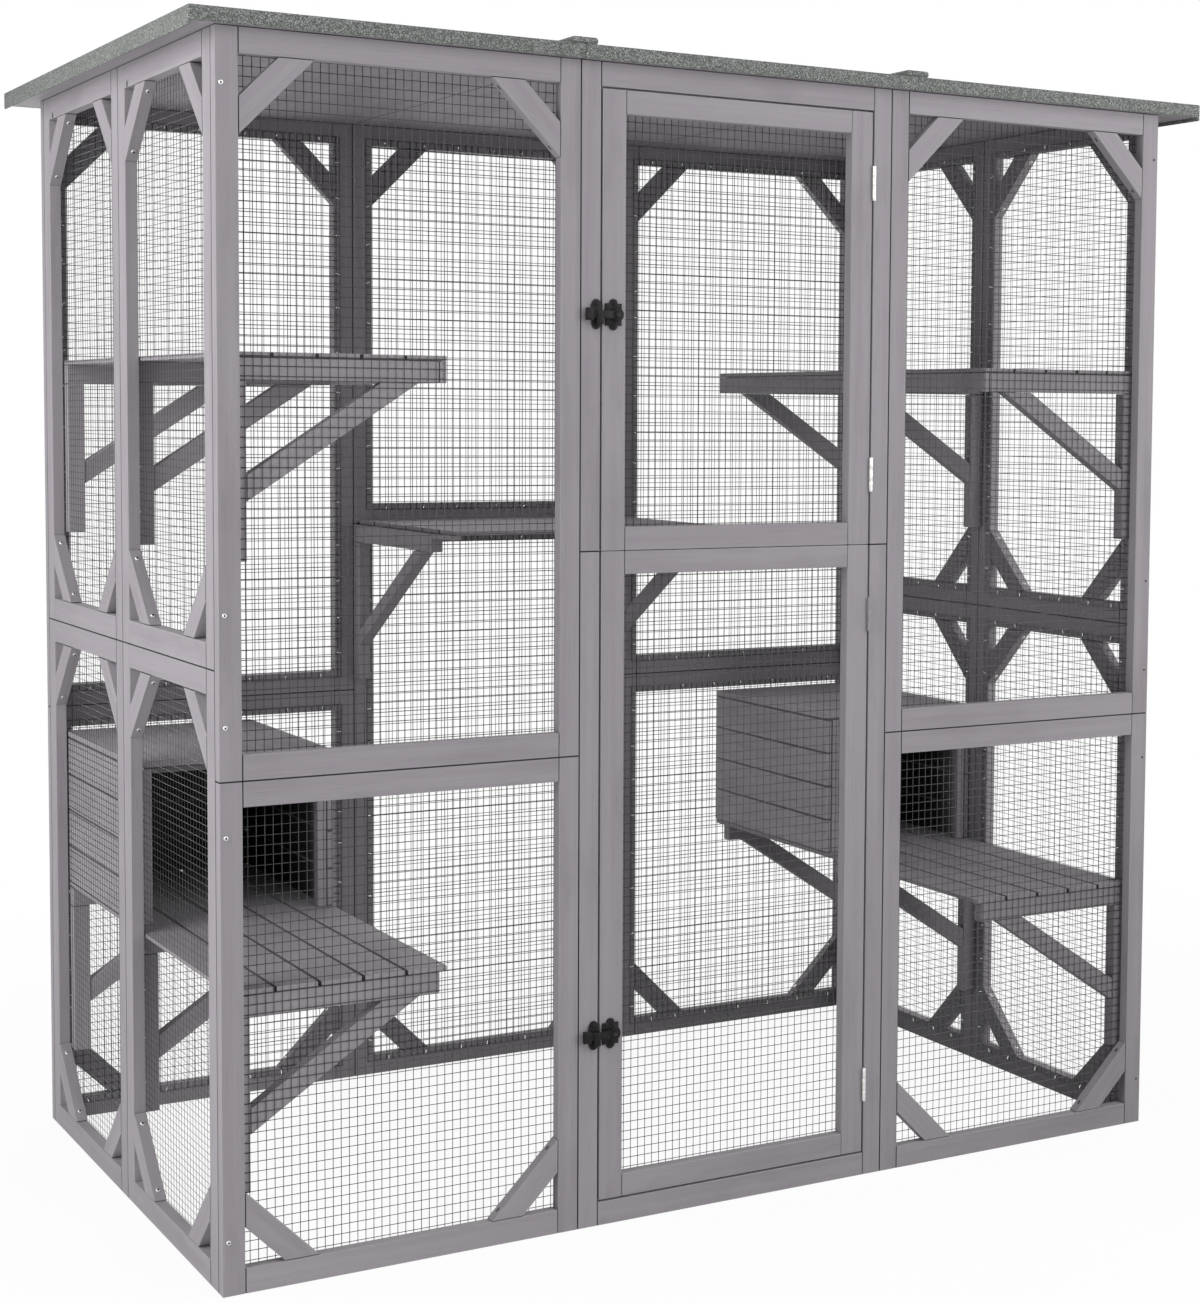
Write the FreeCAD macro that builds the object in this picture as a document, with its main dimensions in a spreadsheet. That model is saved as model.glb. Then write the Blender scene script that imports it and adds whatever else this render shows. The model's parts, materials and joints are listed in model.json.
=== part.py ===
"""Outdoor cat enclosure: a box of wire panels with two doors, a felted roof, shelves and sleeping boxes.

Millimetres, +Z up, the front towards -Y. The origin is on the ground under the middle of the roof.
"""
import FreeCAD
import Part
import math
import os
import re

from FreeCAD import Rotation, Vector

# Driving sizes, each one a cell of the sheet
SIZES = {
    # walls
    "column_width": 567.0,
    "wall_depth": 985.0,
    "short_panel": 748.0,
    "tall_panel": 1064.0,
    "frame_thick": 20.0,
    "front_stile": 34.0,
    "side_stile": 38.0,
    "rail": 38.0,
    "brace_leg": 112.0,
    "brace_width": 37.0,
    # wire nets, as plain sheets
    "net_thick": 1.0,
    "net_lap": 12.0,
    # doors
    "door_gap": 3.0,
    "door_seam": 0.5,
    "hinge_gap": 3.4,
    "door_stile": 40.0,
    "door_rail": 36.0,
    # roof
    "roof_left": 40.0,
    "roof_right": 85.0,
    "roof_front": 12.0,
    "roof_back": 95.0,
    "roof_board": 18.0,
    "felt_thick": 4.0,
    "felt_hem": 6.0,
    "batten_width": 44.0,
    "batten_height": 10.0,
    # shelves and decks
    "shelf_top": 1360.0,
    "deck_top": 440.0,
    "middle_top": 1071.0,
    "side_reach": 337.0,
    "middle_reach": 461.0,
    "middle_arm": 378.0,
    "plank_thick": 8.0,
    "plank_gap": 4.5,
    "wall_clear": 2.0,
    "plank_end": 50.0,
    "edge_board": 12.0,
    # brackets under the shelves and decks
    "arm_height": 33.0,
    "leg_thick": 30.0,
    "bracket_wide": 22.0,
    "bracket_inset": 11.0,
    "leg_drop": 259.0,
    "side_strut_drop": 173.0,
    "side_strut_out": 263.0,
    "side_strut_width": 32.0,
    "middle_strut_drop": 193.0,
    "middle_strut_out": 312.0,
    "middle_strut_width": 24.0,
    "cleat_height": 8.0,
    # sleeping boxes
    "box_front": 510.0,
    "box_back": 940.0,
    "box_height": 256.0,
    "box_wall": 12.0,
    "post_wide": 16.0,
    "post_deep": 20.0,
    "header": 8.0,
    # hinges
    "hinge_height": 56.0,
    "hinge_inset": 87.0,
    "leaf_thick": 1.5,
    "leaf_depth": 17.0,
    "knuckle_radius": 3.2,
    "knuckle_gap": 0.4,
    "pin_radius": 1.6,
    "pin_clear": 0.05,
    # latches
    "upper_latch": 364.0,
    "lower_latch": 306.0,
    "latch_inset": 23.0,
    "plate_left": 19.0,
    "plate_right": 9.0,
    "plate_height": 34.0,
    "plate_thick": 2.5,
    "lobe_radius": 7.0,
    "boss_radius": 11.0,
    "boss_height": 3.5,
    "pivot_radius": 3.0,
    "pivot_clear": 0.05,
    "cap_radius": 6.0,
    "cap_thick": 1.4,
    "lever_ring": 9.5,
    "lever_height": 12.0,
    "lever_reach": 55.0,
    "lever_thick": 3.2,
    "lever_gap": 0.4,
    "grip_wide": 13.0,
    "grip_height": 19.0,
    "grip_proud": 0.9,
    "rib_far": 37.0,
    "rib_near": 26.0,
    "rib_drop": 10.0,
    "rib_thick": 1.6,
    "keeper_wide": 16.5,
    "keeper_height": 32.0,
    "ledge_height": 8.0,
    # corner screws
    "screw_edge": 9.0,
    "screw_radius": 2.0,
    "screw_length": 45.0,
    "head_radius": 3.6,
    "head_height": 1.5,
    "screw_end": 80.0,
}

# Places that follow from the driving sizes
PLACES = {
    "frame_width": "3 * column_width",
    "frame_height": "short_panel + tall_panel",
    "left": "(roof_left - roof_right - frame_width) / 2",
    "right": "left + frame_width",
    "front": "(roof_front - roof_back - wall_depth) / 2",
    "back": "front + wall_depth",
    "side_middle": "wall_depth / 2",
    "side_seam": "frame_height / 2",
    "net_face": "frame_thick + net_thick",
    "clear_of_wall": "frame_thick + wall_clear",
    "roof_x": "left - roof_left",
    "roof_far_x": "right + roof_right",
    "roof_y": "front - roof_front",
    "roof_far_y": "back + roof_back",
    "roof_third": "(roof_far_x - roof_x) / 3",
    "board_top": "frame_height + roof_board",
    "felt_top": "board_top + felt_thick",
    "door_left": "column_width + front_stile + door_gap",
    "door_right": "2 * column_width - front_stile - hinge_gap",
    "lower_door_low": "rail + door_gap",
    "lower_door_high": "tall_panel - door_seam",
    "upper_door_low": "tall_panel + door_seam",
    "upper_door_high": "frame_height - rail - door_gap",
    "side_far": "frame_thick + side_reach",
    "middle_far": "frame_thick + middle_reach",
    "box_roof": "deck_top + box_height",
    "hinge_x": "left + door_right + hinge_gap / 2",
    "hinge_y": "front - knuckle_radius",
    "knuckle": "hinge_height / 3",
    "latch_x": "left + door_left + latch_inset",
    "plate_face": "front - plate_thick",
    "lever_back": "plate_face - boss_height - lever_gap",
    "lever_face": "lever_back - lever_thick",
    "keeper_right": "left + door_left - door_gap",
}

COLUMNS = ("0", "column_width", "2 * column_width", "frame_width")
SIDE_PLANKS = 5
MIDDLE_PLANKS = 6
BOX_BOARDS = 4
UP = Vector(0, 0, 1)
OUT = Vector(0, -1, 0)

doc = FreeCAD.newDocument("cat_enclosure")
sheet = doc.addObject("Spreadsheet::Sheet", "size")
for row, (name, value) in enumerate(SIZES.items(), start=1):
    sheet.set("A%d" % row, str(value))
    sheet.setAlias("A%d" % row, name)
doc.recompute()

nodes = []


def cells(text):
    """Write a size expression in terms of the sheet's cells."""
    def swap(match):
        word = match.group(0)
        if word in PLACES:
            return "(" + cells(PLACES[word]) + ")"
        return "size." + word if word in SIZES else word
    return re.sub("[a-z_]+", swap, text)


def number(text):
    """The present value of a size expression."""
    def swap(match):
        word = match.group(0)
        value = number(PLACES[word]) if word in PLACES else sheet.get(word)
        return "(%r)" % float(value)
    return FreeCAD.Units.Quantity(re.sub("[a-z_]+", swap, text)).Value


def bind(item, **values):
    for name, text in values.items():
        item.setExpression(name.replace("__", "."), cells(text))


def place(item, x, y, z):
    bind(item, Placement__Base__x=x, Placement__Base__y=y, Placement__Base__z=z)


def span(low, high):
    return "(%s) - (%s)" % (high, low)


def box(x, y, z):
    """A block between a low and a high place on each axis."""
    item = doc.addObject("Part::Box", "block")
    bind(item, Length=span(*x), Width=span(*y), Height=span(*z))
    place(item, x[0], y[0], z[0])
    return item


def cylinder(radius, length, x, y, z, axis):
    item = doc.addObject("Part::Cylinder", "round")
    item.Placement.Rotation = Rotation(UP, axis)
    bind(item, Radius=radius, Height=length)
    place(item, x, y, z)
    return item


def cut(base, tool):
    item = doc.addObject("Part::Cut", "cut")
    item.Base = base
    item.Tool = tool
    return item


def fuse(*items):
    item = doc.addObject("Part::MultiFuse", "fuse")
    item.Shapes = list(items)
    return item


def node(label, items):
    """One named sub-part, a single solid or a set of separate ones."""
    item = items[0]
    if len(items) > 1:
        item = doc.addObject("Part::Compound", "set")
        item.Links = items
    item.Label = label
    nodes.append(item)


class Wall:
    """A wall's plane: along runs level from its start, inward goes from the outer face to the inside."""

    def __init__(self, start, along, inward):
        self.start = start
        self.along = Vector(*along)
        self.inward = Vector(*inward)

    def spot(self, along, inward):
        """The x and y of a point of the wall."""
        steps = ((self.along.x, self.inward.x), (self.along.y, self.inward.y))
        return ["%s + (%s) * %d + (%s) * %d" % (start, along, a, inward, b)
                for start, (a, b) in zip(self.start, steps)]

    def block(self, along, z, inward=("0", "frame_thick")):
        near = self.spot(along[0], inward[0])
        far = self.spot(along[1], inward[1])
        signs = self.along + self.inward
        x, y = [(a, b) if sign > 0 else (b, a) for a, b, sign in zip(near, far, signs)]
        return box(x, y, z)

    def brace(self, along, z, side, rise):
        """A mitred corner brace; side and rise point from the corner into the opening."""
        slant = (self.along * -side + UP * rise).normalize()
        to_corner = (self.along * -side - UP * rise).normalize()
        through = slant.cross(to_corner)
        item = doc.addObject("Part::Wedge", "brace")
        item.Placement.Rotation = Rotation(slant, to_corner, through, "XYZ")
        length = "brace_leg * sqrt(2)"
        bind(item, Xmin="0", Xmax=length, X2min="brace_width", X2max=length + " - brace_width")
        bind(item, Ymin="0", Ymax="brace_width", Zmin="0", Zmax="frame_thick", Z2min="0", Z2max="frame_thick")
        inward = "0" if through.dot(self.inward) > 0 else "frame_thick"
        x, y = self.spot("%s + %d * brace_leg" % (along, side), inward)
        place(item, x, y, z)
        return item

    def frame(self, along, z, stile, rail="rail", braces=""):
        """Two stiles, two rails between them and the corner braces asked for, at the low or the high end."""
        run = ("%s + %s" % (along[0], stile), "%s - %s" % (along[1], stile))
        rise = ("%s + %s" % (z[0], rail), "%s - %s" % (z[1], rail))
        items = [self.block((along[0], run[0]), z), self.block((run[1], along[1]), z)]
        items += [self.block(run, (z[0], rise[0])), self.block(run, (rise[1], z[1]))]
        for end, height, way in (("low", rise[0], 1), ("high", rise[1], -1)):
            if end in braces:
                items += [self.brace(run[0], height, 1, way), self.brace(run[1], height, -1, way)]
        return items

    def net(self, along, z, stile, rail="rail"):
        """A welded net on a panel's inner face, as a sheet lapped on the stiles and rails."""
        run = ("%s + %s - net_lap" % (along[0], stile), "%s - %s + net_lap" % (along[1], stile))
        rise = ("%s + %s - net_lap" % (z[0], rail), "%s - %s + net_lap" % (z[1], rail))
        return self.block(run, rise, ("frame_thick", "net_face"))

    def bracket(self, middle, under, arm_reach, strut_kind, seat="frame_thick"):
        """A leg on the wall, an arm under the planks and a mitred strut from one to the other."""
        run = ("%s - bracket_wide / 2" % middle, "%s + bracket_wide / 2" % middle)
        arm_low = under + " - arm_height"
        leg_face = "frame_thick + leg_thick"
        arm = self.block(run, (arm_low, under), (seat, "frame_thick + " + arm_reach))
        leg = self.block(run, (arm_low + " - leg_drop", arm_low), (seat, leg_face))
        drop, out, width = [strut_kind + end for end in ("_drop", "_out", "_width")]
        foot = "%s - %s" % (arm_low, drop)
        room = self.block(run, (foot, arm_low), (leg_face, "%s + %s" % (leg_face, out)))
        strut = doc.addObject("Part::Box", "strut")
        across = UP.cross(self.inward)
        slope = math.degrees(math.atan2(number(drop), number(out)))
        strut.Placement.Rotation = Rotation(across, -slope) * Rotation(self.inward, across, UP, "XYZ")
        bind(strut, Length="%s + %s" % (out, drop), Width="bracket_wide", Height=width)
        x, y = self.spot(run[0] if across.dot(self.along) > 0 else run[1], leg_face)
        place(strut, x, y, foot)
        mitred = doc.addObject("Part::MultiCommon", "mitred")
        mitred.Shapes = [strut, room]
        return [leg, arm, mitred]


FRONT = Wall(("left", "front"), (1, 0, 0), (0, 1, 0))
BACK = Wall(("left", "back"), (1, 0, 0), (0, -1, 0))
SIDES = {"left": Wall(("left", "front"), (0, 1, 0), (1, 0, 0)),
         "right": Wall(("right", "front"), (0, 1, 0), (-1, 0, 0))}

# Front wall: braced panels in the outer columns, door surrounds in the middle one
for side, along in (("left", COLUMNS[0:2]), ("right", COLUMNS[2:4])):
    for level, z, braces in (("lower", ("0", "short_panel"), "low"),
                             ("upper", ("short_panel", "frame_height"), "high")):
        node("front_%s_%s_frame" % (side, level), FRONT.frame(along, z, "front_stile", braces=braces))
        node("front_%s_%s_mesh" % (side, level), [FRONT.net(along, z, "front_stile")])

doorway = (COLUMNS[1] + " + front_stile", COLUMNS[2] + " - front_stile")
for level, z, rail_z in (("lower", ("0", "tall_panel"), ("0", "rail")),
                         ("upper", ("tall_panel", "frame_height"), ("frame_height - rail", "frame_height"))):
    stiles = [FRONT.block((COLUMNS[1], doorway[0]), z), FRONT.block((doorway[1], COLUMNS[2]), z)]
    node("door_surround_" + level, stiles + [FRONT.block(doorway, rail_z)])

# Doors: plain frames, one above the other
door_along = ("door_left", "door_right")
for level in ("lower", "upper"):
    z = (level + "_door_low", level + "_door_high")
    node(level + "_door_frame", FRONT.frame(door_along, z, "door_stile", "door_rail"))
    node(level + "_door_mesh", [FRONT.net(door_along, z, "door_stile", "door_rail")])

# Side walls: two columns between the front and the back wall, with braces in every corner
side_columns = (("frame_thick", "side_middle"), ("side_middle", "wall_depth - frame_thick"))
for side, wall in SIDES.items():
    for level, z in (("lower", ("0", "side_seam")), ("upper", ("side_seam", "frame_height"))):
        near, far = [wall.frame(along, z, "side_stile", braces="low high") for along in side_columns]
        node("%s_wall_%s_frames" % (side, level), near + far)
        nets = [wall.net(along, z, "side_stile") for along in side_columns]
        node("%s_wall_%s_meshes" % (side, level), nets)

# Back wall: three columns, the middle one with its seam higher up
for side, along, seam in (("left", COLUMNS[0:2], "short_panel"), ("middle", COLUMNS[1:3], "tall_panel"),
                          ("right", COLUMNS[2:4], "short_panel")):
    lower_z, upper_z = ("0", seam), (seam, "frame_height")
    lower = BACK.frame(along, lower_z, "side_stile", braces="low")
    upper = BACK.frame(along, upper_z, "side_stile", braces="high")
    node("back_%s_frames" % side, lower + upper)
    node("back_%s_meshes" % side, [BACK.net(along, z, "side_stile") for z in (lower_z, upper_z)])

# Roof: three equal boards, a felt over each that wraps the outer edges, and a batten over each joint
joints = ("roof_x + roof_third", "roof_far_x - roof_third")
felt_spans = (("roof_x", joints[0]), joints, (joints[1], "roof_far_x"))
board_spans = (("roof_x + felt_thick", joints[0]), joints, (joints[1], "roof_far_x - felt_thick"))
board_y = ("roof_y + felt_thick", "roof_far_y - felt_thick")
board_z = ("frame_height", "board_top")
felt_y = ("roof_y", "roof_far_y")
covers = [box(x, felt_y, ("frame_height", "felt_top")) for x in felt_spans]
near, between, far = [cut(cover, box(x, board_y, board_z)) for cover, x in zip(covers, board_spans)]
hem_spans = (("roof_x", "roof_x + felt_thick"), ("roof_far_x - felt_thick", "roof_far_x"))
near_hem, far_hem = [box(x, felt_y, ("frame_height - felt_hem", "frame_height")) for x in hem_spans]
node("roof_boards", [box(x, board_y, board_z) for x in board_spans])
node("roof_felts", [fuse(near, near_hem), between, fuse(far, far_hem)])
node("roof_battens", [
    box((joint + " - batten_width / 2", joint + " + batten_width / 2"), felt_y,
        ("felt_top", "felt_top + batten_height"))
    for joint in joints
])


def planks(wall, along, inward, z, count):
    """Boards side by side with gaps, running along the wall."""
    wide = "((%s) - %d * plank_gap) / %d" % (span(*inward), count - 1, count)
    items = []
    for index in range(count):
        start = "%s + %d * (%s + plank_gap)" % (inward[0], index, wide)
        items.append(wall.block(along, z, (start, "%s + %s" % (start, wide))))
    return items


# Shelves and decks on the side walls, from the front wall to short of the back wall
# The back brackets seat on the net, which laps the last stile there
side_run = ("clear_of_wall", "wall_depth - plank_end")
bracket_seats = ((side_run[0] + " + bracket_wide / 2", "frame_thick"), ("side_middle", "frame_thick"),
                 (side_run[1] + " - bracket_inset - bracket_wide / 2", "net_face"))
for side, wall in SIDES.items():
    for kind in ("shelf", "deck"):
        top = kind + "_top"
        under = top + " - plank_thick"
        boards = planks(wall, side_run, ("clear_of_wall", "side_far"), (under, top), SIDE_PLANKS)
        if kind == "shelf":
            edge = ("side_far - edge_board", "side_far")
            boards.append(wall.block(side_run, (under + " - arm_height", under), edge))
        node("%s_%s_planks" % (side, kind), boards)
        arm = "side_reach - edge_board"
        brackets = [wall.bracket(spot, under, arm, "side_strut", seat) for spot, seat in bracket_seats]
        node("%s_%s_brackets" % (side, kind), brackets[0] + brackets[1] + brackets[2])

# Middle shelf on the back wall: planks on two arms, with a cleat ahead of each arm under the front planks
under = "middle_top - plank_thick"
bracket_spots = (COLUMNS[1] + " + bracket_wide / 2", COLUMNS[2] + " - bracket_wide / 2")
depth = ("clear_of_wall", "middle_far")
node("middle_shelf_planks", planks(BACK, bracket_spots, depth, (under, "middle_top"), MIDDLE_PLANKS))
near, far = [BACK.bracket(spot, under, "middle_arm", "middle_strut") for spot in bracket_spots]
cleats = [
    BACK.block((spot + " - bracket_wide / 2", spot + " + bracket_wide / 2"),
               (under + " - cleat_height", under), ("frame_thick + middle_arm", "middle_far"))
    for spot in bracket_spots
]
node("middle_shelf_brackets", near + far + cleats)

# Sleeping boxes on the back half of each deck, open to the front
for side, wall in SIDES.items():
    outer_wall = ("clear_of_wall", "clear_of_wall + box_wall")
    inner_wall = ("side_far - box_wall", "side_far")
    hollow = (outer_wall[1], inner_wall[0])
    length = ("box_front", "box_back")
    boards = []
    for index in range(BOX_BOARDS):
        low, high = ["deck_top + box_height * %d / %d" % (step, BOX_BOARDS) for step in (index, index + 1)]
        boards += [wall.block(length, (low, high), outer_wall), wall.block(length, (low, high), inner_wall)]
        boards.append(wall.block(("box_back - box_wall", "box_back"), (low, high), hollow))
    node(side + "_box_walls", boards)
    post_run = ("box_front", "box_front + post_deep")
    post_spans = ((hollow[0], hollow[0] + " + post_wide"), (hollow[1] + " - post_wide", hollow[1]))
    pieces = [wall.block(post_run, ("deck_top", "box_roof"), post) for post in post_spans]
    between_posts = (post_spans[0][1], post_spans[1][0])
    pieces.append(wall.block(post_run, ("box_roof - header", "box_roof"), between_posts))
    node(side + "_box_front", pieces)
    node(side + "_box_top", [wall.block(length, ("box_roof", "box_roof + box_wall"),
                                        ("clear_of_wall", "side_far"))])

# Hinges: two butt hinges on the right of each door, the pins just in front of the wall's outer face
FIXED_BANDS = (("0", "knuckle - knuckle_gap"), ("2 * knuckle + knuckle_gap", "hinge_height"))
MOVING_BANDS = (("knuckle", "2 * knuckle"),)


def hinge_leaf(x, low, own, other, bore):
    """A leaf in the door's gap with its own knuckles, cleared for the knuckles of the other leaf."""
    leaf = box(x, ("hinge_y", "front + leaf_depth"), (low, low + " + hinge_height"))
    for start, end in other:
        depth = span(start, end) + " + 2 * knuckle_gap"
        leaf = cut(leaf, cylinder("knuckle_radius + knuckle_gap", depth, "hinge_x", "hinge_y",
                                  "%s + %s - knuckle_gap" % (low, start), UP))
    knuckles = [cylinder("knuckle_radius", span(start, end), "hinge_x", "hinge_y",
                         "%s + %s" % (low, start), UP) for start, end in own]
    return cut(fuse(leaf, *knuckles), cylinder(bore, "hinge_height", "hinge_x", "hinge_y", low, UP))


for level in ("lower", "upper"):
    lows = (level + "_door_low + hinge_inset", level + "_door_high - hinge_inset - hinge_height")
    frame_edge = "hinge_x + hinge_gap / 2"
    door_edge = "hinge_x - hinge_gap / 2"
    node(level + "_hinge_frame_leaves", [
        hinge_leaf((frame_edge + " - leaf_thick", frame_edge), low, FIXED_BANDS, MOVING_BANDS, "pin_radius")
        for low in lows
    ])
    node(level + "_hinge_door_leaves", [
        hinge_leaf((door_edge, door_edge + " + leaf_thick"), low, MOVING_BANDS, FIXED_BANDS,
                   "pin_radius + pin_clear")
        for low in lows
    ])
    node(level + "_hinge_pins", [cylinder("pin_radius", "hinge_height", "hinge_x", "hinge_y", low, UP)
                                 for low in lows])

# Latches: a plate with a pivot on the door, a drop lever on it and a keeper on the stile beside the door
def lobed_plate(x, low, high):
    """A plate on the wall's outer face with a round lobe at each end."""
    middle = "((%s) + (%s)) / 2" % x
    body = box(x, ("plate_face", "front"), (low, high))
    return [body] + [cylinder("lobe_radius", "plate_thick", middle, "front", end, OUT) for end in (low, high)]


for level, height in (("lower", "lower_latch"), ("upper", "tall_panel + upper_latch")):
    boss = cylinder("boss_radius", "plate_thick + boss_height", "latch_x", "front", height, OUT)
    pivot = cylinder("pivot_radius", "front - lever_face + lever_gap", "latch_x", "front", height, OUT)
    cap = cylinder("cap_radius", "cap_thick", "latch_x", "lever_face - lever_gap", height, OUT)
    plate = lobed_plate(("latch_x - plate_left", "latch_x + plate_right"),
                        height + " - plate_height / 2", height + " + plate_height / 2")
    node(level + "_latch_plate", [fuse(boss, pivot, cap, *plate)])

    lever_low, lever_high = height + " - lever_height / 2", height + " + lever_height / 2"
    eye = cylinder("lever_ring", "lever_thick", "latch_x", "lever_back", height, OUT)
    hole = cylinder("pivot_radius + pivot_clear", "lever_thick", "latch_x", "lever_back", height, OUT)
    grip_end = "latch_x - lever_reach + grip_wide"
    bar = box((grip_end, "latch_x"), ("lever_face", "lever_back"), (lever_low, lever_high))
    grip = box(("latch_x - lever_reach", grip_end),
               ("lever_face - grip_proud", "lever_back + grip_proud"),
               (height + " - grip_height / 2", height + " + grip_height / 2"))
    rib = box(("latch_x - rib_far", "latch_x - rib_near"), ("lever_face - rib_thick", "lever_face"),
              (lever_low + " - rib_drop", lever_high))
    node(level + "_latch_lever", [cut(eye, hole), cut(bar, eye), grip, rib])

    keeper_x = ("keeper_right - keeper_wide", "keeper_right")
    ledge_top = lever_low + " - lever_gap"
    ledge = box(("latch_x - rib_far", "latch_x - rib_near"), ("lever_face + lever_gap", "plate_face"),
                (ledge_top + " - ledge_height", ledge_top))
    keeper = lobed_plate(keeper_x, height + " - keeper_height / 2", height + " + keeper_height / 2")
    node(level + "_latch_keeper", [fuse(*keeper), ledge])

# Corner screws through the front and the back stiles into the ends of the side panels
screws = []
heights = ("screw_end", "short_panel - screw_end", "side_seam - screw_end", "side_seam + screw_end",
           "frame_height - screw_end")
for y, way in (("front", OUT), ("back", -OUT)):
    for x in ("left + screw_edge", "right - screw_edge"):
        for height in heights:
            shank = cylinder("screw_radius", "screw_length", x, y, height, -way)
            screws.append(fuse(shank, cylinder("head_radius", "head_height", x, y, height, way)))
node("corner_screws", screws)

doc.recompute()
broken = [item.Name for item in doc.Objects if "Invalid" in item.State or "Error" in item.State]
if broken:
    raise RuntimeError("failed objects: " + ", ".join(broken))
for item in nodes:
    if item.Shape.isNull() or not item.Shape.isValid():
        raise RuntimeError("bad shape: " + item.Label)

os.makedirs("parts", exist_ok=True)
for item in nodes:
    item.Shape.exportStep("parts/%s.step" % item.Label)
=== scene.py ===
"""Looks of an outdoor cat enclosure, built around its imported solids. Metres, +Z up, the front towards -Y."""
import bmesh
import bpy
import json
import math
import random

from mathutils import Matrix, Vector


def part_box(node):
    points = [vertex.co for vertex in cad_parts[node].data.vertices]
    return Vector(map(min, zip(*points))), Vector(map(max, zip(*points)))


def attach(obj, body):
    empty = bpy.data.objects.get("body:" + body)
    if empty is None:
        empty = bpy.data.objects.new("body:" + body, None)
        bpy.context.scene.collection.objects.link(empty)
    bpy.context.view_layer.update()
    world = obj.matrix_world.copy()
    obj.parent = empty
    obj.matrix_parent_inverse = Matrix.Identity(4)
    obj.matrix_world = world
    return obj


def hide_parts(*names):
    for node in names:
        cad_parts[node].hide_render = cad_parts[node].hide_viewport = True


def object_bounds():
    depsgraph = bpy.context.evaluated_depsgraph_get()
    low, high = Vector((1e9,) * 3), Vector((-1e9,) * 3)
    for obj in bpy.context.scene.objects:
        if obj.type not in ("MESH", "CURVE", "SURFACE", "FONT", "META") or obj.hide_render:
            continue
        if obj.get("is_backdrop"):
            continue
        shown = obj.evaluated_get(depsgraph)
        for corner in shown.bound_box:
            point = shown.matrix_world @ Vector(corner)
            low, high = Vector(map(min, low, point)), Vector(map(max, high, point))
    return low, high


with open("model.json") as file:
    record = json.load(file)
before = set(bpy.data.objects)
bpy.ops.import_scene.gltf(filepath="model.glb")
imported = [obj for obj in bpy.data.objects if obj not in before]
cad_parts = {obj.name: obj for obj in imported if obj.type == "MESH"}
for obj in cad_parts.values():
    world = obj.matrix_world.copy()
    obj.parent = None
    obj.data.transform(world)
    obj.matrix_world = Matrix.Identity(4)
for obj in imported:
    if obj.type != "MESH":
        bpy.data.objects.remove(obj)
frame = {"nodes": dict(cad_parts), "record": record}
cad_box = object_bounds()
random.seed(7)

# Wall panels, door surrounds and doors: planed softwood laths, butted and screwed into flat frames.
# Mitred braces stiffen the corners. A thin grey stain lets the grain through. Shade is painted on the faces
# that look into the run and into the joints and gaps, and the eased arrises are rubbed a little paler, partly
# wear and partly a painted highlight.
MICRON = 1e-6
FLAT_ANGLE = math.radians(1)
LATH_EDGE_ANGLE = math.radians(20)
LATH_ARRIS = 0.0009
LATH_SLACK = 0.0003
SEAM_REACH = 0.0055
STAIN_PALE = (0.365, 0.345, 0.370, 1)
STAIN_MID = (0.318, 0.298, 0.321, 1)
STAIN_DEEP = (0.215, 0.200, 0.216, 1)
# Paler arrises: wear, and in part a painted highlight along the eased edges.
ARRIS_WEAR_AND_HIGHLIGHT = (0.440, 0.420, 0.435, 1)
# Near black, painted as shade on faces in joints and narrow gaps, and in part on shaded faces further in.
PAINTED_SHADE_BLACK = (0.022, 0.020, 0.022, 1)
STAIN_TONE = 0.09
GRAIN_SHIFT = 9
BAND_SCALE = (1.3, 70, 70)
BAND_SWAY = 0.3
BAND_RELIEF = 0.6
PORE_SCALE = (16, 620, 620)
PORE_SHARE = 0.38
PORE_RELIEF = 0.4
CLOUD_SCALE = (4, 14, 14)
CLOUD_SHARE = 0.42
WEAR_AND_HIGHLIGHT_SHARE = 0.6
# How far the painted shade goes towards near black.
PAINTED_SHADE_SHARE = 0.9
FACING_COSINE = 0.5
# Share of painted shade on the panel faces that look into the run.
INNER_PAINTED_SHADE = 0.38


class Socket:
    """A shader socket in an expression: arithmetic on it adds Math nodes."""

    def __init__(self, finish, socket):
        self.finish = finish
        self.socket = socket

    def math(self, operation, *values):
        return self.finish.add("ShaderNodeMath", {"operation": operation}, dict(enumerate(values)))

    def __add__(self, other):
        return self.math("ADD", self, other)

    def __sub__(self, other):
        return self.math("SUBTRACT", self, other)

    def __rsub__(self, other):
        return self.math("SUBTRACT", other, self)

    def __mul__(self, other):
        return self.math("MULTIPLY", self, other)

    __radd__ = __add__


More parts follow.
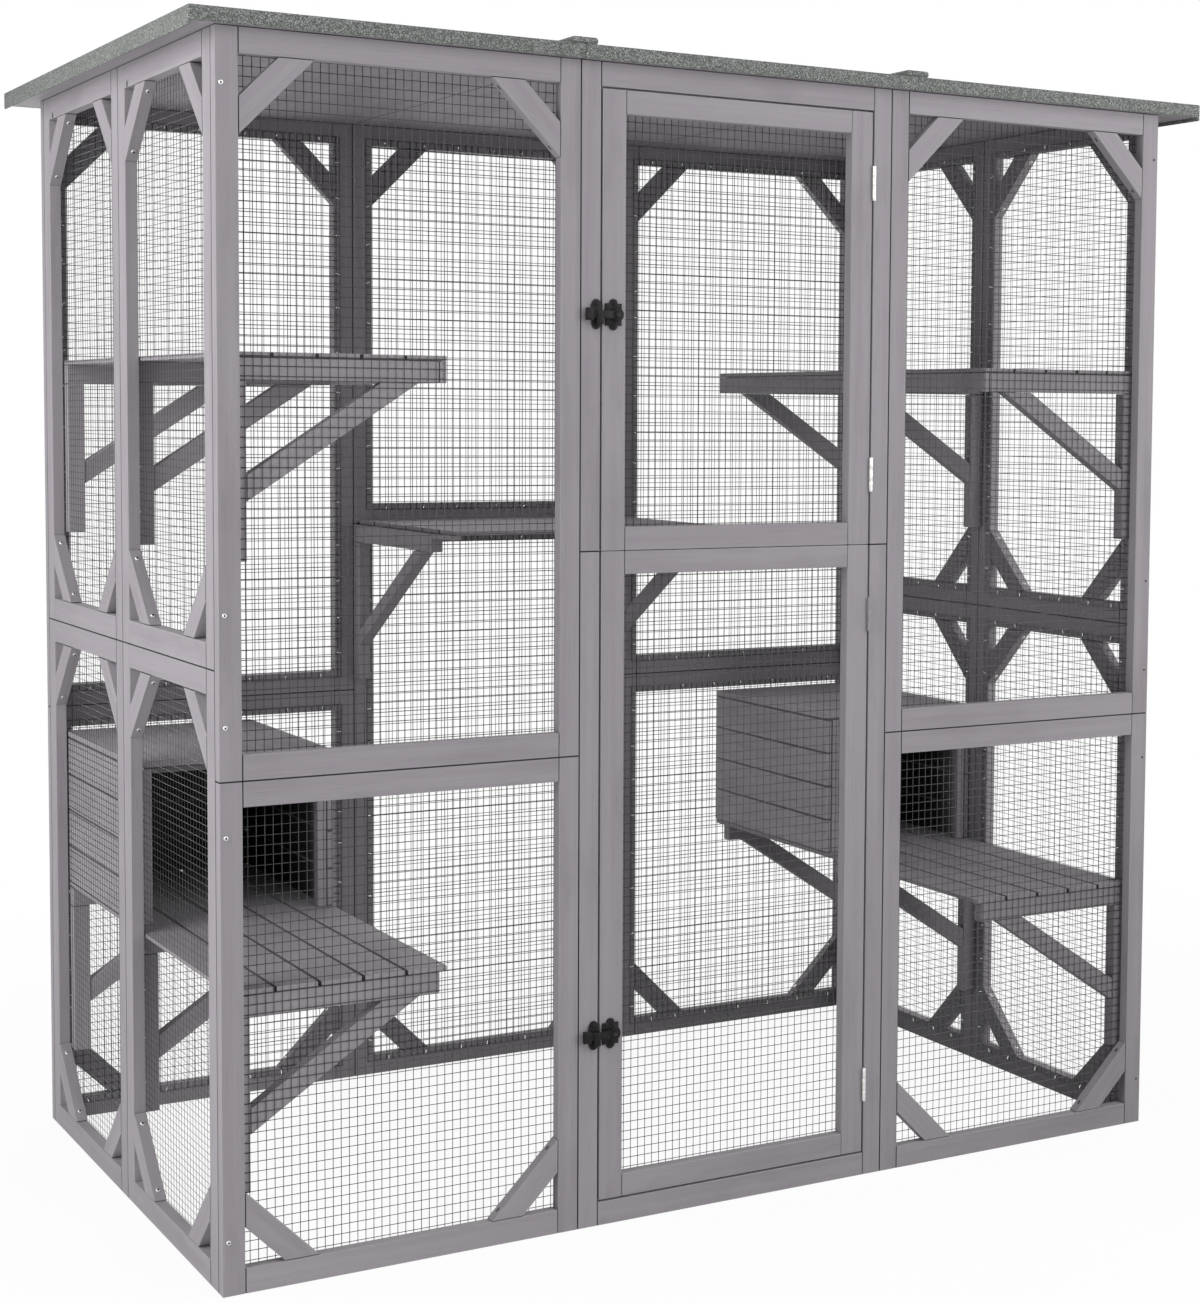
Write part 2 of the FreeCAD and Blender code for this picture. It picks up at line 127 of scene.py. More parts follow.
class Finish:
    """A material or world being put together from shader nodes."""

    def __init__(self, owner):
        self.owner = owner
        owner.use_nodes = True
        self.tree = owner.node_tree
        self.tree.nodes.clear()

    def add(self, kind, settings, sockets, out=0):
        """Adds a node: its settings first, then the values or links of its sockets."""
        node = self.tree.nodes.new(kind)
        for name, value in settings.items():
            setattr(node, name, value)
        for name, value in sockets.items():
            if isinstance(value, Socket):
                self.tree.links.new(value.socket, node.inputs[name])
            else:
                node.inputs[name].default_value = value
        return Socket(self, node.outputs[out]) if node.outputs else node

    def spot(self):
        """The place on the piece, in its own coordinates."""
        return self.add("ShaderNodeTexCoord", {}, {}, "Object")

    def read(self, name, out="Fac"):
        """A value that the mesh carries."""
        return self.add("ShaderNodeAttribute", {"attribute_name": name}, {}, out)

    def noise(self, vector, scale, detail=2.0, roughness=0.5):
        return self.add("ShaderNodeTexNoise", {}, {"Vector": vector, "Scale": scale, "Detail": detail,
                                                   "Roughness": roughness})

    def fibres(self, grain, scale, detail):
        """Noise drawn out along the grain, with a scale for each of its ways."""
        drawn = self.add("ShaderNodeVectorMath", {"operation": "MULTIPLY"}, {0: grain, 1: scale})
        return self.noise(drawn, scale=1.0, detail=detail, roughness=0.6)

    def ramp(self, value, low, high):
        """Zero below low, one above high, straight between."""
        return self.add("ShaderNodeMapRange", {}, {"Value": value, "From Min": low, "From Max": high})

    def mix(self, share, first, second):
        return self.add("ShaderNodeMix", {"data_type": "RGBA"}, {0: share, 6: first, 7: second}, 2)

    def bump(self, height, distance, strength):
        return self.add("ShaderNodeBump", {}, {"Height": height, "Distance": distance, "Strength": strength})

    def surface(self, **sockets):
        """The closing surface shader; a socket's words are joined by low lines."""
        named = {name.replace("_", " "): value for name, value in sockets.items()}
        shader = self.add("ShaderNodeBsdfPrincipled", {}, named)
        self.add("ShaderNodeOutputMaterial", {}, {"Surface": shader})
        return self.owner


def grey_stain():
    finish = Finish(bpy.data.materials.new("grey_stain"))
    grain = finish.read("grain", "Vector")
    tone, arris, seam = [finish.read(name) for name in ("tone", "arris", "seam")]
    sway = finish.noise(grain, scale=3.0)
    bands = finish.fibres(grain, BAND_SCALE, detail=3.0)
    pores = finish.fibres(grain, PORE_SCALE, detail=2.0)
    cloud = finish.fibres(grain, CLOUD_SCALE, detail=3.0)
    depth = finish.ramp(bands + sway * BAND_SWAY + tone * STAIN_TONE, low=0.42, high=0.86)
    stain = finish.mix(depth, STAIN_PALE, STAIN_MID)
    stain = finish.mix(finish.ramp(cloud, low=0.5, high=0.8) * CLOUD_SHARE, stain, STAIN_DEEP)
    stain = finish.mix(finish.ramp(pores, low=0.58, high=0.75) * PORE_SHARE, stain, STAIN_DEEP)
    # Eased arrises go paler in patches: partly wear, partly a painted highlight.
    worn_and_lit = arris * finish.ramp(cloud, low=0.35, high=0.65) * WEAR_AND_HIGHLIGHT_SHARE
    stain = finish.mix(worn_and_lit, stain, ARRIS_WEAR_AND_HIGHLIGHT)
    # Painted shade: faces in joints and gaps, and the faces that gloom picks, are darkened towards near black.
    stain = finish.mix(seam * PAINTED_SHADE_SHARE, stain, PAINTED_SHADE_BLACK)
    relief = bands * BAND_RELIEF + pores * PORE_RELIEF
    return finish.surface(Base_Color=stain, Roughness=0.62 + cloud * 0.2, Specular_IOR_Level=0.2,
                          Normal=finish.bump(relief, distance=0.0006, strength=0.5))


GREY_STAIN = grey_stain()


def solids(node):
    """The closed solids of a CAD node, each a list of faces of corner points."""
    item = frame["nodes"][node]
    points = [item.matrix_world @ corner.co for corner in item.data.vertices]
    keys = [tuple(round(value / MICRON) for value in point) for point in points]
    faces, loose = [], set()
    for face in item.data.polygons:
        ring = list(face.vertices)
        faces.append([points[corner] for corner in ring])
        for one, other in zip(ring, ring[1:] + ring[:1]):
            loose ^= {frozenset((keys[one], keys[other]))}
        if not loose:
            yield faces
            faces = []


def plain_body(faces):
    """One solid as a bmesh, with its flat faces whole again."""
    body = bmesh.new()
    for face in faces:
        body.faces.new([body.verts.new(point) for point in face])
    bmesh.ops.remove_doubles(body, verts=body.verts, dist=MICRON)
    bmesh.ops.dissolve_limit(body, angle_limit=FLAT_ANGLE, verts=body.verts, edges=body.edges)
    return body


def ease(body, arris, angle):
    """Rounds the edges that turn by more than an angle, and gives the new faces."""
    sharp = [edge for edge in body.edges if edge.calc_face_angle(0) > angle]
    rounded = bmesh.ops.bevel(body, geom=sharp, offset=arris, segments=2, profile=0.5, affect="EDGES",
                              clamp_overlap=True)
    return set(rounded["faces"])


class Joinery:
    """Laths of one node gathered into a mesh, each with its own run of grain and with shade painted near black
    into its joints and gaps.
    """

    def __init__(self, node):
        self.node = node
        self.points, self.faces, self.grain, self.tone, self.arris, self.seam = [], [], [], [], [], []

    def lath(self, faces, arris=LATH_ARRIS, slack=LATH_SLACK, joint=1.0, gloom=lambda face, point: 0.0):
        """Adds a solid drawn in all round by the slack, with eased edges. Its faces hidden in joints and
        narrow gaps get the joint's share of painted shade, and the others the painted shade that gloom gives."""
        body = plain_body(faces)
        longest = max(body.edges, key=lambda edge: edge.calc_length())
        along = (longest.verts[1].co - longest.verts[0].co).normalized()
        broad = max(body.faces, key=lambda face: face.calc_area()).normal.copy()
        ways = (along, broad.cross(along), broad)
        low, high = corners(faces)
        middle = (low + high) / 2
        for way in ways:
            reach = max(abs((corner.co - middle).dot(way)) for corner in body.verts)
            for corner in body.verts:
                corner.co -= way * ((corner.co - middle).dot(way) * slack / reach)
        new_faces = ease(body, arris, LATH_EDGE_ANGLE)
        start = len(self.points)
        shift = Vector([random.uniform(-GRAIN_SHIFT, GRAIN_SHIFT) for axis in range(3)])
        shade = random.uniform(-1, 1)
        beside = [box for box in LATHS[body_of(self.node)] if box != (low, high) and meets(box, low, high)]
        body.verts.index_update()
        for corner in body.verts:
            offset = corner.co - middle
            self.points.append(corner.co.copy())
            self.grain.append(Vector([offset.dot(way) for way in ways]) + shift)
            self.tone.append(shade)
        for face in body.faces:
            self.faces.append([start + corner.index for corner in face.verts])
            self.arris.append(1.0 if face in new_faces else 0.0)
            # Faces in joints and narrow gaps get painted shade by the joint's share; the others by gloom.
            dark = hidden(face, beside)
            self.seam += [joint if dark else gloom(face, corner.co) for corner in face.verts]
        body.free()

    def piece(self):
        name = self.node + "_timber"
        mesh = bpy.data.meshes.new(name)
        mesh.from_pydata(self.points, [], self.faces)
        mesh.attributes.new("grain", "FLOAT_VECTOR", "POINT").data.foreach_set(
            "vector", [value for point in self.grain for value in point])
        mesh.attributes.new("tone", "FLOAT", "POINT").data.foreach_set("value", self.tone)
        mesh.attributes.new("arris", "FLOAT", "FACE").data.foreach_set("value", self.arris)
        mesh.attributes.new("seam", "FLOAT", "CORNER").data.foreach_set("value", self.seam)
        mesh.polygons.foreach_set("use_smooth", [value > 0 for value in self.arris])
        settle(place(name, mesh, GREY_STAIN), body_of(self.node), "painted_wood", self.node)


def meets(box, low, high):
    """Whether a lath's box comes within a joint's or narrow gap's reach of a pair of corners."""
    return all(box[0][axis] - SEAM_REACH <= high[axis] and box[1][axis] + SEAM_REACH >= low[axis]
               for axis in range(3))


def hidden(face, beside):
    """Whether a face lies wholly in a joint or a narrow gap beside other laths."""
    middle = face.calc_center_median()
    spots = [middle] + [corner.co.lerp(middle, share) for corner in face.verts for share in (0.0, 0.5)]
    return all(any(meets(box, spot, spot) for box in beside) for spot in spots)


def looks(face, way):
    """Whether a face looks more or less that way."""
    return face.normal.dot(way) > FACING_COSINE


def corners(faces):
    """The lowest and highest corners of a solid."""
    points = [point for face in faces for point in face]
    return [Vector([pick(point[axis] for point in points) for axis in range(3)]) for pick in (min, max)]


def place(name, mesh, *materials):
    piece = bpy.data.objects.new(name, mesh)
    bpy.context.scene.collection.objects.link(piece)
    for material in materials:
        mesh.materials.append(material)
    return piece


def settle(piece, body, slot, *nodes):
    """Says what a piece moves with and hides the CAD nodes it stands for; the slot for its finish is not used.
    """
    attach(piece, body)
    if nodes:
        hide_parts(*nodes)


def body_of(node):
    return next(body for body, members in BODIES.items() if node in members)


BODIES = frame["record"]["behaviour"]["bodies"]
SLOTS = {part["node"]: part["material_slot"] for part in frame["record"]["subparts"]}
INWARD = {"left": (1, 0, 0), "right": (-1, 0, 0), "back": (0, -1, 0)}
FRONT_INWARD = (0, 1, 0)
PANELS = [node for node in SLOTS if node.endswith(("_frame", "_frames")) or node.startswith("door_surround")]
LATHS = {body: [tuple(corners(faces)) for node in members if SLOTS[node] == "painted_wood"
                for faces in solids(node)] for body, members in BODIES.items()}
for node in PANELS:
    joinery = Joinery(node)
    inward = Vector(INWARD.get(node.split("_")[0], FRONT_INWARD))

    def inner_painted_shade(face, point):
        """Painted shade on the faces that look into the run."""
        return INNER_PAINTED_SHADE if looks(face, inward) else 0.0

    for faces in solids(node):
        joinery.lath(faces, slack=0.0 if "door_frame" in node else LATH_SLACK, gloom=inner_painted_shade)
    joinery.piece()

# Screws: zinc-plated pan heads with shade painted into the driver recess, two through the long edge of every
# brace and sunk on the front, where they are drawn as flat marks of painted shade. Longer ones run through the
# front and back stiles into the side panels, and slanted pockets in the side walls' top rails, drawn as marks
# of painted shade, take those that hold the roof.
ZINC_PALE = (0.80, 0.80, 0.78, 1)
ZINC_DULL = (0.58, 0.58, 0.57, 1)
# Painted shade for driver recesses, sunk screw holes and pockets, a little uneven.
RECESS_BLACK = (0.012, 0.012, 0.013, 1)
RECESS_SHADE_PALE = (0.035, 0.033, 0.032, 1)
BRACE_SCREW_RADIUS = 0.0039
BRACE_SCREW_SPACING = 0.118
SUNK_SCREW_RADIUS = 0.0022
SUNK_SCREW_LENGTH = 2.0
HEAD_SIDES = 14
PAN_HEAD = ((1.0, 0.0), (0.97, 0.22), (0.80, 0.40), (0.42, 0.46), (0.36, 0.16))
SUNK_HEAD = ((1.0, 0.0), (0.9, 0.06), (0.6, 0.03), (0.4, 0.0))
POCKET_RADIUS = 0.0028
POCKET_LENGTH = 2.1
POCKET_DROP = 0.033
BACK_POCKET_END = 0.085
MIDDLE_POCKET_END = 0.055
SQUARE_COSINE = 0.9


def zinc_plate():
    finish = Finish(bpy.data.materials.new("zinc_plate"))
    bloom = finish.noise(finish.spot(), scale=180.0, detail=3.0)
    colour = finish.mix(finish.ramp(bloom, low=0.4, high=0.7), ZINC_PALE, ZINC_DULL)
    return finish.surface(Base_Color=colour, Roughness=0.28 + bloom * 0.2, Metallic=0.85)


# Painted shade for recesses and holes.
def driver_recess():
    finish = Finish(bpy.data.materials.new("driver_recess"))
    speckle = finish.noise(finish.spot(), scale=700.0)
    colour = finish.mix(speckle, RECESS_BLACK, RECESS_SHADE_PALE)
    return finish.surface(Base_Color=colour, Roughness=0.7 + speckle * 0.2)


ZINC_PLATE = zinc_plate()
RECESS_SHADE = driver_recess()


def skin(first, sides, rows):
    """The faces between rings of points that follow each other, from the first point on."""
    for row in range(rows):
        low = first + row * sides
        high = low + sides
        for step in range(sides):
            after = (step + 1) % sides
            yield low + step, low + after, high + after, high + step


class Fasteners:
    """Round heads gathered into one mesh. Each is a profile, in shares of its radius, turned about its
    axis, with shade painted into the recess in the middle."""

    def __init__(self):
        self.points, self.faces, self.dark = [], [], []

    def head(self, spot, axis, radius, profile=PAN_HEAD, side=None):
        """Adds a head; a side longer than one draws it out that way."""
        side = side or axis.orthogonal().normalized()
        other = axis.cross(side).normalized()
        start = len(self.points)
        turns = [math.tau * step / HEAD_SIDES for step in range(HEAD_SIDES)]
        rim = [side * math.cos(turn) + other * math.sin(turn) for turn in turns]
        for share, height in profile:
            self.points += [spot + axis * (height * radius) + way * (share * radius) for way in rim]
        rows = len(profile) - 1
        self.faces += skin(start, HEAD_SIDES, rows)
        self.dark += [row == rows - 1 for row in range(rows) for step in range(HEAD_SIDES)]
        self.faces.append(range(len(self.points) - HEAD_SIDES, len(self.points)))
        self.dark.append(True)

    def piece(self, name, bright=ZINC_PLATE):
        mesh = bpy.data.meshes.new(name)
        mesh.from_pydata(self.points, [], self.faces)
        mesh.polygons.foreach_set("material_index", [int(dark) for dark in self.dark])
        return place(name, mesh, bright, RECESS_SHADE)


def slanted_edge(faces):
    """The middle, run and outward way of a brace's long edge, or nothing for a square lath."""
    body = plain_body(faces)
    slanted = [face for face in body.faces if max(abs(value) for value in face.normal) < SQUARE_COSINE]
    found = None
    if slanted:
        face = max(slanted, key=lambda item: item.calc_area())
        edge = max(face.edges, key=lambda item: item.calc_length())
        run = (edge.verts[1].co - edge.verts[0].co).normalized()
        found = (face.calc_center_median(), run, face.normal.copy())
    body.free()
    return found


for node in PANELS:
    screws = Fasteners()
    at_front = node.startswith("front")
    for faces in solids(node):
        edge = slanted_edge(faces)
        if edge:
            middle, run, out = edge
            for way in (-0.5, 0.5):
                spot = middle + run * (way * BRACE_SCREW_SPACING)
                if at_front:
                    screws.head(spot, out, SUNK_SCREW_RADIUS, SUNK_HEAD, run * SUNK_SCREW_LENGTH)
                else:
                    screws.head(spot, out, BRACE_SCREW_RADIUS)
    if screws.points:
        # On the front the whole sunk head is painted shade.
        metal = RECESS_SHADE if at_front else ZINC_PLATE
        settle(screws.piece(node + "_screws", metal), body_of(node), "zinc")

UP = Vector((0, 0, 1))
wall_left, wall_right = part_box("left_wall_upper_frames")[0][0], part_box("right_wall_upper_frames")[1][0]
wall_front, wall_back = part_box("front_left_lower_frame")[0][1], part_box("back_left_frames")[1][1]
wall_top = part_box("left_wall_upper_frames")[1][2]
# The roof screw pockets: slanted marks of painted shade.
pockets = Fasteners()
for face, way in ((wall_left, -1), (wall_right, 1)):
    for end in (wall_back - BACK_POCKET_END, (wall_front + wall_back) / 2 - MIDDLE_POCKET_END):
        spot = Vector((face, end, wall_top - POCKET_DROP))
        pockets.head(spot, Vector((way, 0, 0)), POCKET_RADIUS, SUNK_HEAD, UP * POCKET_LENGTH)
settle(pockets.piece("roof_screw_pockets", RECESS_SHADE), "enclosure", "painted_wood")

bright, stained = Fasteners(), Fasteners()
for faces in solids("corner_screws"):
    low, high = corners(faces)
    at_front = low.y < wall_front
    face = wall_front if at_front else wall_back
    out = Vector((0, -1 if at_front else 1, 0))
    middle = (low + high) / 2
    heads, profile = (stained, SUNK_HEAD) if at_front and middle.x > 0 else (bright, PAN_HEAD)
    heads.head(Vector((middle.x, face, middle.z)), out, (high.x - low.x) / 2, profile)
settle(bright.piece("corner_screws_zinc"), "enclosure", "zinc", "corner_screws")
settle(stained.piece("corner_screws_stained", GREY_STAIN), "enclosure", "painted_wood", "corner_screws")

# Welded wire: thin drawn wires crossed and spot welded, then dipped in black.
# Each net is cut to its panel and stapled on the inner face. The side walls have finer wires, and their
# level ones lie closer together.
WIRE_RADIUS = 0.00060
SIDE_LEVEL_RADIUS = 0.00046
SIDE_UPRIGHT_RADIUS = 0.00034
WIRE_WELD = 0.00086
WIRE_WAVE = 0.00018
WIRE_SPAN = 0.075
CELL_WIDE = 0.0127
CELL_TALL = 0.0145
SIDE_WIDE = 0.0145
SIDE_TALL = 0.0112
WIRE_COLOUR = (0.012, 0.011, 0.012, 1)
WIRE_DULL = (0.040, 0.038, 0.039, 1)
STAPLE_SPACING = 0.073
STAPLE_STRAY = 0.010
STAPLE_INSET = 0.004
STAPLE_TURN = 0.4
STAPLE_CROWN = 0.008
STAPLE_RADIUS = 0.0012
STAPLE_BEND = ((-0.5, -0.3), (-0.42, 0.8), (-0.2, 1.0), (0.2, 1.0), (0.42, 0.8), (0.5, -0.3))
STAPLE_BRIGHT = (0.96, 0.96, 0.95, 1)
STAPLE_GREY = (0.84, 0.84, 0.83, 1)


def black_wire():
    finish = Finish(bpy.data.materials.new("black_wire"))
    rub = finish.ramp(finish.noise(finish.spot(), scale=60.0, detail=3.0), low=0.45, high=0.7)
    colour = finish.mix(rub, WIRE_COLOUR, WIRE_DULL)
    return finish.surface(Base_Color=colour, Roughness=0.30 + rub * 0.2, Specular_IOR_Level=0.8)


def bright_staple():
    finish = Finish(bpy.data.materials.new("bright_staple"))
    dull = finish.noise(finish.spot(), scale=90.0)
    colour = finish.mix(dull, STAPLE_BRIGHT, STAPLE_GREY)
    return finish.surface(Base_Color=colour, Roughness=0.2 + dull * 0.15, Metallic=1.0)


BLACK_WIRE = black_wire()
BRIGHT_STAPLE = bright_staple()


class Wires:
    """Lengths of wire gathered into one mesh of four-sided tubes."""

    def __init__(self):
        self.points, self.faces = [], []

    def tube(self, middles, radius, side, through):
        """A closed tube along its middles."""
        ways = (side, through, -side, -through)
        first = len(self.points)
        for middle in middles:
            self.points += [middle + way * radius for way in ways]
        last = len(self.points)
        self.faces += skin(first, len(ways), len(middles) - 1)
        self.faces += [range(first, first + len(ways))[::-1], range(last - len(ways), last)]

    def wire(self, start, end, side, through, radius):
        """A wire that wanders a little sideways between its welds."""
        count = max(1, round((end - start).length / WIRE_SPAN))
        middles = []
        for step in range(count + 1):
            sway = side * random.uniform(-WIRE_WAVE, WIRE_WAVE) if 0 < step < count else Vector()
            middles.append(start.lerp(end, step / count) + sway)
        self.tube(middles, radius, side, through)

    def staple(self, spot, run, inward):
        """A crown over the wire, its ends driven into the wood."""
        crown = inward * (2 * WIRE_RADIUS + WIRE_WELD)
        bends = [spot + run * (share * STAPLE_CROWN) + crown * rise for share, rise in STAPLE_BEND]
        self.tube(bends, STAPLE_RADIUS, inward.cross(run), inward)

    def piece(self, name, material):
        mesh = bpy.data.meshes.new(name)
        mesh.from_pydata(self.points, [], self.faces)
        mesh.polygons.foreach_set("use_smooth", [True] * len(self.faces))
        return place(name, mesh, material)


class Net:
    """The wires and staples over one flat net's box."""

    def __init__(self, faces):
        low, high = corners(faces)
        run_axis = 0 if high.x - low.x > high.y - low.y else 1
        self.through = 1 - run_axis
        nearer = (low + high)[self.through] < 2 * ROOM_MIDDLE[self.through]
        self.along = Vector((1 - run_axis, run_axis, 0))
        self.inward = Vector((run_axis, 1 - run_axis, 0)) * (1 if nearer else -1)
        self.face = low[self.through] if nearer else high[self.through]
        self.runs = (low[run_axis], high[run_axis])
        self.rises = (low.z, high.z)

    def spot(self, run, rise, depth=0.0):
        point = self.along * run + UP * rise
        point[self.through] = self.face
        return point + self.inward * depth

    def weave(self, wires, wide, tall, upright_radius, level_radius):
        """Level and upright wires, the upright ones nearer the frame."""
        for index in range(round((self.runs[1] - self.runs[0]) / wide) + 1):
            run = min(self.runs[0] + index * wide, self.runs[1])
            ends = [self.spot(run, rise, WIRE_RADIUS) for rise in self.rises]
            wires.wire(*ends, self.along, self.inward, upright_radius)
        for index in range(round((self.rises[1] - self.rises[0]) / tall) + 1):
            rise = min(self.rises[0] + index * tall, self.rises[1])
            ends = [self.spot(run, rise, WIRE_RADIUS + WIRE_WELD) for run in self.runs]
            wires.wire(*ends, UP, self.inward, level_radius)

    def pin(self, staples):
        """Staples round the net's edge, a little out of line."""
        inner_runs = (self.runs[0] + STAPLE_INSET, self.runs[1] - STAPLE_INSET)
        inner_rises = (self.rises[0] + STAPLE_INSET, self.rises[1] - STAPLE_INSET)
        for ends, edges, upright in ((inner_runs, inner_rises, False), (inner_rises, inner_runs, True)):
            count = round((ends[1] - ends[0]) / STAPLE_SPACING)
            for edge in edges:
                for index in range(count):
                    place_along = ends[0] + (index + 0.5) * (ends[1] - ends[0]) / count
                    place_along += random.uniform(-STAPLE_STRAY, STAPLE_STRAY)
                    run, rise = (edge, place_along) if upright else (place_along, edge)
                    turn = random.uniform(-STAPLE_TURN, STAPLE_TURN)
                    lie = self.along * math.cos(turn) + UP * math.sin(turn)
                    if not upright:
                        lie = self.inward.cross(lie)
                    staples.staple(self.spot(run, rise), lie, self.inward)


ROOM_MIDDLE = Vector(((wall_left + wall_right) / 2, (wall_front + wall_back) / 2, 0))
for node in [name for name, slot in SLOTS.items() if slot == "wire"]:
    wires, staples = Wires(), Wires()
    weave = (CELL_WIDE, CELL_TALL, WIRE_RADIUS, WIRE_RADIUS)
    if "wall" in node:
        weave = (SIDE_WIDE, SIDE_TALL, SIDE_UPRIGHT_RADIUS, SIDE_LEVEL_RADIUS)
    for faces in solids(node):
        net = Net(faces)
        net.weave(wires, *weave)
        net.pin(staples)
    settle(wires.piece(node + "_wires", BLACK_WIRE), body_of(node), "wire", node)
    settle(staples.piece(node + "_staples", BRIGHT_STAPLE), body_of(node), "zinc")

# Hinges: pressed zinc-plated steel butts with a loose pin, let into the gap on the right of each door.
# The lower door's top hinge was stained over with the frame, so it hardly shows.
HINGE_ARRIS = 0.0003
EASED_EDGE_ANGLE = math.radians(35)


def eased(name, node, arris, *materials, pick=lambda low, high: 0):
    """A CAD node's solids with rounded edges, each in the material that pick chooses from its corners."""
    mesh = bpy.data.meshes.new(name)
    whole = bmesh.new()
    for faces in solids(node):
        body = plain_body(faces)
        ease(body, arris, EASED_EDGE_ANGLE)
        for face in body.faces:
            face.smooth = True
            face.material_index = pick(*corners(faces))
        body.to_mesh(mesh)
        whole.from_mesh(mesh)
        body.free()
    whole.to_mesh(mesh)
    whole.free()
    return place(name, mesh, *materials)


for node in [name for name in SLOTS if "_hinge_" in name]:
    door_low, door_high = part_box(node.split("_")[0] + "_door_frame")
    half_way = (door_low[2] + door_high[2]) / 2
    stained_over = node.startswith("lower")
    hinge = eased(node + "_zinc", node, HINGE_ARRIS, ZINC_PLATE, GREY_STAIN,
                  pick=lambda low, high: int(stained_over and low.z > half_way))
    settle(hinge, body_of(node), "zinc", node)

# Latches: a cast plate with a pivot on the door, a drop lever on it and a keeper on the stile beside it.
# All are dipped black and held by small black screws through the lobes.
BLACK_CAST = (0.010, 0.009, 0.010, 1)
BLACK_RUBBED = (0.024, 0.020, 0.023, 1)
LATCH_ARRIS = 0.0007
PLATE_THICKNESS = 0.0025
LATCH_SCREW_RADIUS = 0.0036
LOBE_INSET = 0.0068
PIVOT_SCREW_RADIUS = 0.0045
PIVOT_INSET = 0.011
PIVOT_HEAD = ((1.0, 0.0), (0.95, 0.06), (0.62, 0.08), (0.5, 0.02))
FORWARD = Vector((0, -1, 0))


def black_cast():
    finish = Finish(bpy.data.materials.new("black_cast"))
    spot = finish.spot()
    pits = finish.noise(spot, scale=900.0)
    rub = finish.ramp(finish.noise(spot, scale=120.0, detail=3.0), low=0.5, high=0.7)
    colour = finish.mix(rub, BLACK_CAST, BLACK_RUBBED)
    return finish.surface(Base_Color=colour, Roughness=0.36 + pits * 0.2, Specular_IOR_Level=0.16,
                          Normal=finish.bump(pits, distance=0.0002, strength=0.4))


BLACK_CASTING = black_cast()
for node in [name for name, slot in SLOTS.items() if slot == "black_metal"]:
    settle(eased(node + "_casting", node, LATCH_ARRIS, BLACK_CASTING), body_of(node), "black_metal", node)
    if not node.endswith("lever"):
        low, high = [Vector(corner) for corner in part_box(node)]
        middle = (low + high) / 2
        plate_face = max(low.y, wall_front - PLATE_THICKNESS)
        screws = Fasteners()
        for height in (low.z + LOBE_INSET, high.z - LOBE_INSET):
            screws.head(Vector((middle.x, plate_face, height)), FORWARD, LATCH_SCREW_RADIUS)
        if node.endswith("plate"):
            spot = Vector((high.x - PIVOT_INSET, low.y, middle.z))
            screws.head(spot, FORWARD, PIVOT_SCREW_RADIUS, PIVOT_HEAD)
        settle(screws.piece(node + "_screws", BLACK_CASTING), body_of(node), "black_metal")

# Shelves and decks: thin planks nailed with gaps across brackets of leg, arm and mitred strut.
# They are the same stained softwood, with shade painted on the faces that do not look up on those at the right
# and the back.
# The brackets are screwed to the posts.
# Share of painted shade on the plank sides in the gaps.
PLANK_GAP_SHADE = 0.75
# Share of painted shade on plank and bracket faces that do not look up, except the left ones.
SHELF_PAINTED_SHADE = 0.30
NAIL_RADIUS = 0.0016
NAIL_HEAD = ((1.0, 0.0), (0.9, 0.12), (0.5, 0.2), (0.3, 0.22), (0.2, 0.2))
NAIL_INSET = 0.011
for node in [name for name in SLOTS if name.endswith("_planks")]:
    brackets = node.replace("planks", "brackets")
    shelf_shade_share = 0.0 if node.startswith("left") else SHELF_PAINTED_SHADE

    def side_painted_shade(face, point):
        """Painted shade on the faces that do not look up."""
        return 0.0 if looks(face, UP) else shelf_shade_share

    for part in (node, brackets):
        joinery = Joinery(part)
        for faces in solids(part):
            joinery.lath(faces, joint=PLANK_GAP_SHADE, gloom=side_painted_shade)
        joinery.piece()
    lengthways, crossways = (0, 1) if node.startswith("middle") else (1, 0)
    spots = []
    for faces in solids(brackets):
        low, high = corners(faces)
        spots.append(round((low + high)[lengthways] / 2, ndigits=3))
    nails = Fasteners()
    for faces in solids(node):
        low, high = corners(faces)
        stands_on_edge = high.z - low.z > (high - low)[crossways]
        if stands_on_edge:
            continue
        for spot in sorted(set(spots)):
            for edge in (low[crossways] + NAIL_INSET, high[crossways] - NAIL_INSET):
                point = Vector((spot, edge, high.z) if lengthways == 0 else (edge, spot, high.z))
                nails.head(point, UP, NAIL_RADIUS, NAIL_HEAD)
    settle(nails.piece(node + "_nails"), "enclosure", "zinc")

# Sleeping boxes: rounded boards nailed edge to edge on two front posts under a header, with a loose
# top board. They stand on the back half of each deck, open to the front. Shade is painted on their insides
# and on the faces that look down, the darker the further back.
BOARD_ARRIS = 0.0020
BOARD_SLACK = 0.0002
# Share of painted shade in the joints between box boards.
BOARD_GAP_SHADE = 0.65
# Painted shade in the boxes: its share at the opening, and the depth over which it grows by one more.
GLOOM_START = 0.45
GLOOM_DEPTH = 0.14
for side in ("left", "right"):
    box_low, box_high = [Vector(corner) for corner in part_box(side + "_box_walls")]
    box_middle = (box_low + box_high) / 2

    def inner_gloom(face, point):
        """Painted shade on a face that looks into the box or down, growing with its depth from the opening."""
        upright = not looks(face, UP) and not looks(face, -UP)
        inward = (box_middle - face.calc_center_median()).dot(face.normal) > 0
        downward = face.normal.z < -SQUARE_COSINE
        depth = (point.y - box_low.y) / GLOOM_DEPTH
        return GLOOM_START + depth if (upright and inward) or downward else 0.0

    for part, arris in (("_box_walls", BOARD_ARRIS), ("_box_front", LATH_ARRIS), ("_box_top", BOARD_ARRIS)):
        joinery = Joinery(side + part)
        for faces in solids(side + part):
            joinery.lath(faces, arris, BOARD_SLACK, BOARD_GAP_SHADE, inner_gloom)
        joinery.piece()

